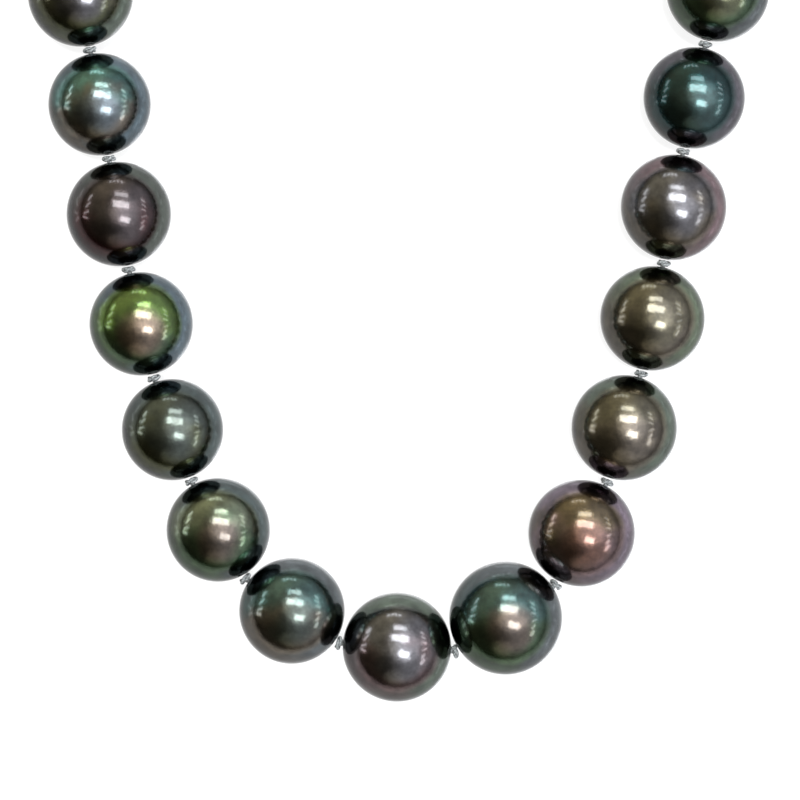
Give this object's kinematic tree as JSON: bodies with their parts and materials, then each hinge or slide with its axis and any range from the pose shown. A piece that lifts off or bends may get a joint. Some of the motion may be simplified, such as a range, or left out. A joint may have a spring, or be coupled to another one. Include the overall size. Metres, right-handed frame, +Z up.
{
  "type": "pearl necklace",
  "caption": "Knotted single strand of dark round pearls with an undone ball clasp, laid flat in a long open U; every knot bends.",
  "frame": {"origin": "middle of the strand's footprint, on the table that it lies on", "axes": "+Z up from the table; +Y from the centre pearl towards the clasp ends; +X towards the right arm"},
  "size_m": [0.0886, 0.2202, 0.011],
  "materials": {
    "nacre": "high lustre dark nacre with peacock, aubergine and olive overtones",
    "silk": "twisted grey silk cord",
    "bullion_wire": "fine coiled wire",
    "white_gold": "polished white gold"
  },
  "bodies": {
    "pearl_center": {"pearl_center": "nacre", "silk_center": "silk"},
    "pearl_left_01": {"pearl_left_01": "nacre"},
    "pearl_left_02": {"pearl_left_02": "nacre"},
    "pearl_left_03": {"pearl_left_03": "nacre"},
    "pearl_left_04": {"pearl_left_04": "nacre"},
    "pearl_left_05": {"pearl_left_05": "nacre"},
    "pearl_left_06": {"pearl_left_06": "nacre"},
    "pearl_left_07": {"pearl_left_07": "nacre"},
    "pearl_left_08": {"pearl_left_08": "nacre"},
    "pearl_left_09": {"pearl_left_09": "nacre"},
    "pearl_left_10": {"pearl_left_10": "nacre"},
    "pearl_left_11": {"pearl_left_11": "nacre"},
    "pearl_left_12": {"pearl_left_12": "nacre"},
    "pearl_left_13": {"pearl_left_13": "nacre"},
    "pearl_left_14": {"pearl_left_14": "nacre"},
    "pearl_left_15": {"pearl_left_15": "nacre"},
    "pearl_left_16": {"pearl_left_16": "nacre"},
    "pearl_left_17": {"pearl_left_17": "nacre"},
    "pearl_left_18": {"pearl_left_18": "nacre"},
    "pearl_left_19": {"pearl_left_19": "nacre"},
    "pearl_left_20": {"pearl_left_20": "nacre", "silk_end_left": "silk", "bullion_left": "bullion_wire"},
    "pearl_right_01": {"pearl_right_01": "nacre"},
    "pearl_right_02": {"pearl_right_02": "nacre"},
    "pearl_right_03": {"pearl_right_03": "nacre"},
    "pearl_right_04": {"pearl_right_04": "nacre"},
    "pearl_right_05": {"pearl_right_05": "nacre"},
    "pearl_right_06": {"pearl_right_06": "nacre"},
    "pearl_right_07": {"pearl_right_07": "nacre"},
    "pearl_right_08": {"pearl_right_08": "nacre"},
    "pearl_right_09": {"pearl_right_09": "nacre"},
    "pearl_right_10": {"pearl_right_10": "nacre"},
    "pearl_right_11": {"pearl_right_11": "nacre"},
    "pearl_right_12": {"pearl_right_12": "nacre"},
    "pearl_right_13": {"pearl_right_13": "nacre"},
    "pearl_right_14": {"pearl_right_14": "nacre"},
    "pearl_right_15": {"pearl_right_15": "nacre"},
    "pearl_right_16": {"pearl_right_16": "nacre"},
    "pearl_right_17": {"pearl_right_17": "nacre"},
    "pearl_right_18": {"pearl_right_18": "nacre"},
    "pearl_right_19": {"pearl_right_19": "nacre"},
    "pearl_right_20": {"pearl_right_20": "nacre", "silk_end_right": "silk", "bullion_right": "bullion_wire"},
    "clasp_ball": {"clasp_ball": "white_gold", "clasp_catch_plate": "white_gold", "clasp_ball_ring": "white_gold"},
    "clasp_tongue": {"tongue_plate": "white_gold", "tongue_collar": "white_gold", "tongue_ring": "white_gold"},
    "tongue_leaf": {"tongue_spring_leaf": "white_gold", "tongue_thumb_tab": "white_gold"}
  },
  "joints": [
    {"name": "knot_left_01", "type": "hinge", "parent": "pearl_center", "child": "pearl_left_01", "pos_m": [-0.00839, -0.10437, 0.00522], "axis": [0, 0, -1], "range_deg": [-15, 10.46]},
    {"name": "knot_left_02", "type": "hinge", "parent": "pearl_left_01", "child": "pearl_left_02", "pos_m": [-0.01752, -0.0981, 0.0051], "axis": [0.7402, 0.6724, 0], "range_deg": [0, 9]},
    {"name": "knot_left_03", "type": "hinge", "parent": "pearl_left_02", "child": "pearl_left_03", "pos_m": [-0.02279, -0.08858, 0.005], "axis": [0, 0, 1], "range_deg": [-15, 15]},
    {"name": "knot_left_04", "type": "hinge", "parent": "pearl_left_03", "child": "pearl_left_04", "pos_m": [-0.02645, -0.07854, 0.005], "axis": [0.9588, 0.284, 0], "range_deg": [0, 9]},
    {"name": "knot_left_05", "type": "hinge", "parent": "pearl_left_04", "child": "pearl_left_05", "pos_m": [-0.02889, -0.06794, 0.00507], "axis": [0, 0, -1], "range_deg": [-15, 15]},
    {"name": "knot_left_06", "type": "hinge", "parent": "pearl_left_05", "child": "pearl_left_06", "pos_m": [-0.0308, -0.05713, 0.00505], "axis": [0.9848, 0.1736, 0], "range_deg": [0, 9]},
    {"name": "knot_left_07", "type": "hinge", "parent": "pearl_left_06", "child": "pearl_left_07", "pos_m": [-0.03267, -0.04651, 0.00507], "axis": [0, 0, 1], "range_deg": [-15, 15]},
    {"name": "knot_left_08", "type": "hinge", "parent": "pearl_left_07", "child": "pearl_left_08", "pos_m": [-0.0345, -0.03558, 0.00506], "axis": [0.9882, 0.153, 0], "range_deg": [0, 9]},
    {"name": "knot_left_09", "type": "hinge", "parent": "pearl_left_08", "child": "pearl_left_09", "pos_m": [-0.03601, -0.02499, 0.00494], "axis": [0, 0, -1], "range_deg": [-15, 15]},
    {"name": "knot_left_10", "type": "hinge", "parent": "pearl_left_09", "child": "pearl_left_10", "pos_m": [-0.03725, -0.01443, 0.0049], "axis": [0.9945, 0.1045, 0], "range_deg": [0, 9]},
    {"name": "knot_left_11", "type": "hinge", "parent": "pearl_left_10", "child": "pearl_left_11", "pos_m": [-0.03822, -0.00393, 0.00487], "axis": [0, 0, 1], "range_deg": [-15, 15]},
    {"name": "knot_left_12", "type": "hinge", "parent": "pearl_left_11", "child": "pearl_left_12", "pos_m": [-0.03893, 0.00652, 0.00483], "axis": [0.9984, 0.0558, 0], "range_deg": [0, 9]},
    {"name": "knot_left_13", "type": "hinge", "parent": "pearl_left_12", "child": "pearl_left_13", "pos_m": [-0.03939, 0.0169, 0.00479], "axis": [0, 0, -1], "range_deg": [-15, 15]},
    {"name": "knot_left_14", "type": "hinge", "parent": "pearl_left_13", "child": "pearl_left_14", "pos_m": [-0.03959, 0.02722, 0.00475], "axis": [1, 0.007, 0], "range_deg": [0, 9]},
    {"name": "knot_left_15", "type": "hinge", "parent": "pearl_left_14", "child": "pearl_left_15", "pos_m": [-0.03953, 0.03746, 0.00471], "axis": [0, 0, 1], "range_deg": [-15, 15]},
    {"name": "knot_left_16", "type": "hinge", "parent": "pearl_left_15", "child": "pearl_left_16", "pos_m": [-0.03923, 0.04762, 0.00467], "axis": [0.9991, -0.0419, 0], "range_deg": [0, 9]},
    {"name": "knot_left_17", "type": "hinge", "parent": "pearl_left_16", "child": "pearl_left_17", "pos_m": [-0.03869, 0.05769, 0.00463], "axis": [0, 0, -1], "range_deg": [-15, 15]},
    {"name": "knot_left_18", "type": "hinge", "parent": "pearl_left_17", "child": "pearl_left_18", "pos_m": [-0.0379, 0.06767, 0.0046], "axis": [0.9959, -0.0906, 0], "range_deg": [0, 9]},
    {"name": "knot_left_19", "type": "hinge", "parent": "pearl_left_18", "child": "pearl_left_19", "pos_m": [-0.03688, 0.07756, 0.00456], "axis": [0, 0, 1], "range_deg": [-15, 15]},
    {"name": "knot_left_20", "type": "hinge", "parent": "pearl_left_19", "child": "pearl_left_20", "pos_m": [-0.03563, 0.08733, 0.00452], "axis": [0.9903, -0.1392, 0], "range_deg": [0, 9]},
    {"name": "knot_right_01", "type": "hinge", "parent": "pearl_center", "child": "pearl_right_01", "pos_m": [0.00297, -0.10516, 0.0054], "axis": [0, 0, 1], "range_deg": [-15, 2.81]},
    {"name": "knot_right_02", "type": "hinge", "parent": "pearl_right_01", "child": "pearl_right_02", "pos_m": [0.01279, -0.09866, 0.00535], "axis": [0.749, -0.6626, 0], "range_deg": [0, 9]},
    {"name": "knot_right_03", "type": "hinge", "parent": "pearl_right_02", "child": "pearl_right_03", "pos_m": [0.01778, -0.08866, 0.00517], "axis": [0, 0, -1], "range_deg": [-15, 15]},
    {"name": "knot_right_04", "type": "hinge", "parent": "pearl_right_03", "child": "pearl_right_04", "pos_m": [0.02111, -0.07809, 0.00513], "axis": [0.9681, -0.2504, 0], "range_deg": [0, 9]},
    {"name": "knot_right_05", "type": "hinge", "parent": "pearl_right_04", "child": "pearl_right_05", "pos_m": [0.0233, -0.06733, 0.00513], "axis": [0, 0, 1], "range_deg": [-15, 15]},
    {"name": "knot_right_06", "type": "hinge", "parent": "pearl_right_05", "child": "pearl_right_06", "pos_m": [0.02522, -0.05642, 0.00505], "axis": [0.9825, -0.1865, 0], "range_deg": [0, 9]},
    {"name": "knot_right_07", "type": "hinge", "parent": "pearl_right_06", "child": "pearl_right_07", "pos_m": [0.02735, -0.04595, 0.005], "axis": [0, 0, -1], "range_deg": [-15, 15]},
    {"name": "knot_right_08", "type": "hinge", "parent": "pearl_right_07", "child": "pearl_right_08", "pos_m": [0.0298, -0.03535, 0.00501], "axis": [0.977, -0.213, 0], "range_deg": [0, 9]},
    {"name": "knot_right_09", "type": "hinge", "parent": "pearl_right_08", "child": "pearl_right_09", "pos_m": [0.03195, -0.02487, 0.00494], "axis": [0, 0, 1], "range_deg": [-15, 15]},
    {"name": "knot_right_10", "type": "hinge", "parent": "pearl_right_09", "child": "pearl_right_10", "pos_m": [0.03383, -0.01441, 0.0049], "axis": [0.9863, -0.165, 0], "range_deg": [0, 9]},
    {"name": "knot_right_11", "type": "hinge", "parent": "pearl_right_10", "child": "pearl_right_11", "pos_m": [0.03545, -0.00398, 0.00487], "axis": [0, 0, -1], "range_deg": [-15, 15]},
    {"name": "knot_right_12", "type": "hinge", "parent": "pearl_right_11", "child": "pearl_right_12", "pos_m": [0.0368, 0.0064, 0.00483], "axis": [0.9932, -0.1167, 0], "range_deg": [0, 9]},
    {"name": "knot_right_13", "type": "hinge", "parent": "pearl_right_12", "child": "pearl_right_13", "pos_m": [0.03788, 0.01674, 0.00479], "axis": [0, 0, 1], "range_deg": [-15, 15]},
    {"name": "knot_right_14", "type": "hinge", "parent": "pearl_right_13", "child": "pearl_right_14", "pos_m": [0.03871, 0.02702, 0.00475], "axis": [0.9977, -0.068, 0], "range_deg": [0, 9]},
    {"name": "knot_right_15", "type": "hinge", "parent": "pearl_right_14", "child": "pearl_right_15", "pos_m": [0.03928, 0.03725, 0.00471], "axis": [0, 0, -1], "range_deg": [-15, 15]},
    {"name": "knot_right_16", "type": "hinge", "parent": "pearl_right_15", "child": "pearl_right_16", "pos_m": [0.0396, 0.04741, 0.00467], "axis": [0.9998, -0.0192, 0], "range_deg": [0, 9]},
    {"name": "knot_right_17", "type": "hinge", "parent": "pearl_right_16", "child": "pearl_right_17", "pos_m": [0.03967, 0.0575, 0.00463], "axis": [0, 0, 1], "range_deg": [-15, 15]},
    {"name": "knot_right_18", "type": "hinge", "parent": "pearl_right_17", "child": "pearl_right_18", "pos_m": [0.0395, 0.06751, 0.0046], "axis": [0.9996, 0.0297, 0], "range_deg": [0, 9]},
    {"name": "knot_right_19", "type": "hinge", "parent": "pearl_right_18", "child": "pearl_right_19", "pos_m": [0.03908, 0.07743, 0.00456], "axis": [0, 0, -1], "range_deg": [-15, 15]},
    {"name": "knot_right_20", "type": "hinge", "parent": "pearl_right_19", "child": "pearl_right_20", "pos_m": [0.03843, 0.08727, 0.00452], "axis": [0.9969, 0.0785, 0], "range_deg": [0, 9]},
    {"name": "clasp_ball_swing", "type": "hinge", "parent": "pearl_right_20", "child": "clasp_ball", "pos_m": [0.03743, 0.09821, 0.0045], "axis": [0, 0, 1], "range_deg": [-30, 30]},
    {"name": "clasp_tongue_lift", "type": "hinge", "parent": "pearl_left_20", "child": "clasp_tongue", "pos_m": [-0.03384, 0.09904, 0.0045], "axis": [0.9885, -0.1513, 0], "range_deg": [0, 45]},
    {"name": "tongue_leaf_press", "type": "hinge", "parent": "clasp_tongue", "child": "tongue_leaf", "pos_m": [-0.03258, 0.10725, 0.00091], "axis": [0.9885, -0.1513, 0], "range_deg": [0, 8], "stiffness_Nm_per_rad": 0.01}
  ]
}
